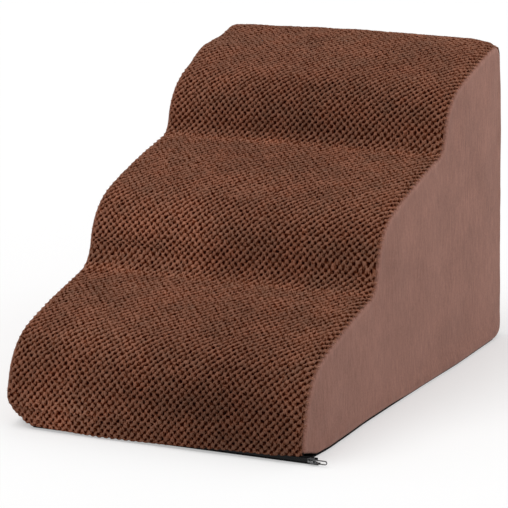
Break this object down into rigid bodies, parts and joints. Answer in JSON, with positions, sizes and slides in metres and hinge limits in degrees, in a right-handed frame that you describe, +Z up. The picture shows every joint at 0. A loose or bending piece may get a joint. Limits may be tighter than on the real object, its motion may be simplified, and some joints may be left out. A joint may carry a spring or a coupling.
{
  "type": "pet stairs",
  "caption": "Padded foam pet stairs with rounded, sloping steps under one plush strip, plain sides, a non-slip base and a zip along the front edge.",
  "frame": {"origin": "on the floor, at the middle of the footprint of the padded body", "axes": "+X to the right as seen by someone facing the steps, +Y from the low front step to the tall back, +Z up"},
  "size_m": [0.418, 0.63, 0.3957],
  "materials": {
    "foam": "open-cell foam, cut faces",
    "plush": "deep pile in small raised kernels",
    "panel_cloth": "short suede-like nap",
    "base_cloth": "woven cloth with small rubber dots",
    "zip_tape": "close woven tape",
    "zip_teeth": "moulded nylon",
    "zip_metal": "black lacquer, worn at the edges"
  },
  "bodies": {
    "cover_and_core": {"foam_core": "foam", "tread_cover": "plush", "side_panel_left": "panel_cloth", "side_panel_right": "panel_cloth", "back_panel": "panel_cloth", "base_panel": "base_cloth", "zip_tape_upper": "zip_tape", "zip_tape_lower": "zip_tape", "zip_teeth_upper": "zip_teeth", "zip_teeth_lower": "zip_teeth", "zip_top_stops": "zip_metal", "zip_bottom_stop": "zip_metal"},
    "slider": {"zip_slider": "zip_metal"},
    "pull": {"zip_pull": "zip_metal"}
  },
  "joints": [
    {"name": "zip_slide", "type": "slide", "parent": "cover_and_core", "child": "slider", "axis": [1, 0, 0], "range_m": [-0.353, 0], "deforming": ["zip_teeth_upper", "zip_teeth_lower"]},
    {"name": "pull_swing", "type": "hinge", "parent": "slider", "child": "pull", "pos_m": [0.203, -0.30925, 0.0054], "axis": [0, 0, 1], "range_deg": [-180, 0]}
  ]
}
